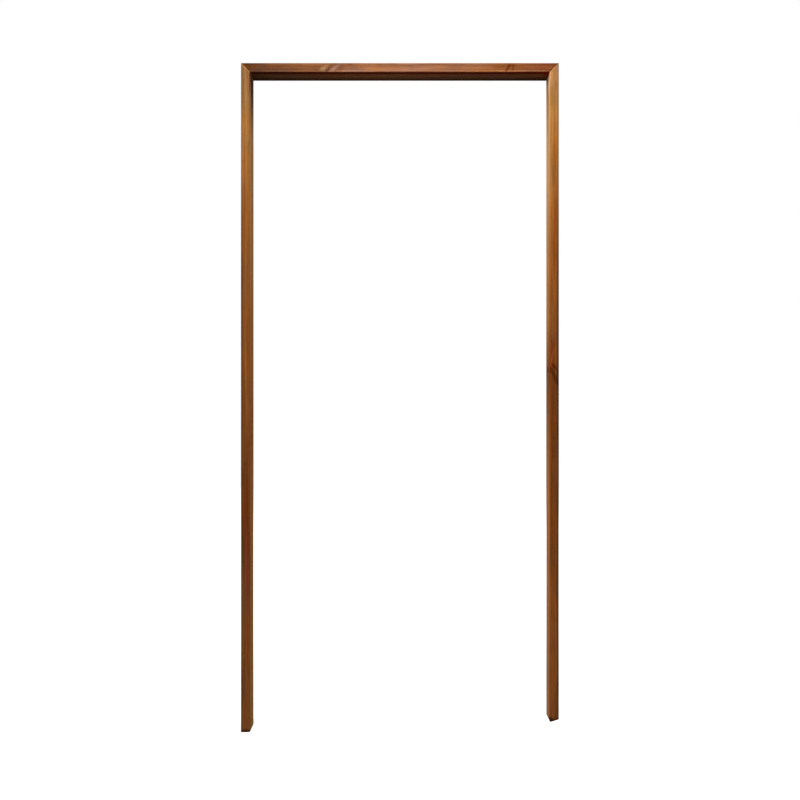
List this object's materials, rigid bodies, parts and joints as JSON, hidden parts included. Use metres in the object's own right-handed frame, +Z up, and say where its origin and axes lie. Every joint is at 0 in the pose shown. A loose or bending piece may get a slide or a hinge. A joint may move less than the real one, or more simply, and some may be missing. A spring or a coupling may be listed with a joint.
{
  "type": "door frame",
  "caption": "Mitred door frame with a plain reveal and a rebate for the leaf behind it, in grained wood-effect MDF, with one leg cut short and aslant.",
  "frame": {"origin": "floor plane, in the middle of the frame's width between the wall faces and of its depth from front to back", "axes": "+X to the right across the opening as seen from the front, -Y out of the visible front faces, +Y to the rebated side, +Z up"},
  "size_m": [0.955, 0.115, 2.009],
  "materials": {
    "stained_mdf": "wood grain, stained brown under a matt varnish",
    "screw_steel": "zinc plated",
    "dowel_beech": "raw"
  },
  "bodies": {
    "root": {"left_jamb": "stained_mdf", "right_jamb": "stained_mdf", "head": "stained_mdf", "left_corner_screw_1": "screw_steel", "left_corner_screw_2": "screw_steel", "left_corner_screw_3": "screw_steel", "right_corner_screw_1": "screw_steel", "right_corner_screw_2": "screw_steel", "right_corner_screw_3": "screw_steel", "left_corner_dowel_1": "dowel_beech", "left_corner_dowel_2": "dowel_beech", "right_corner_dowel_1": "dowel_beech", "right_corner_dowel_2": "dowel_beech"}
  },
  "joints": []
}
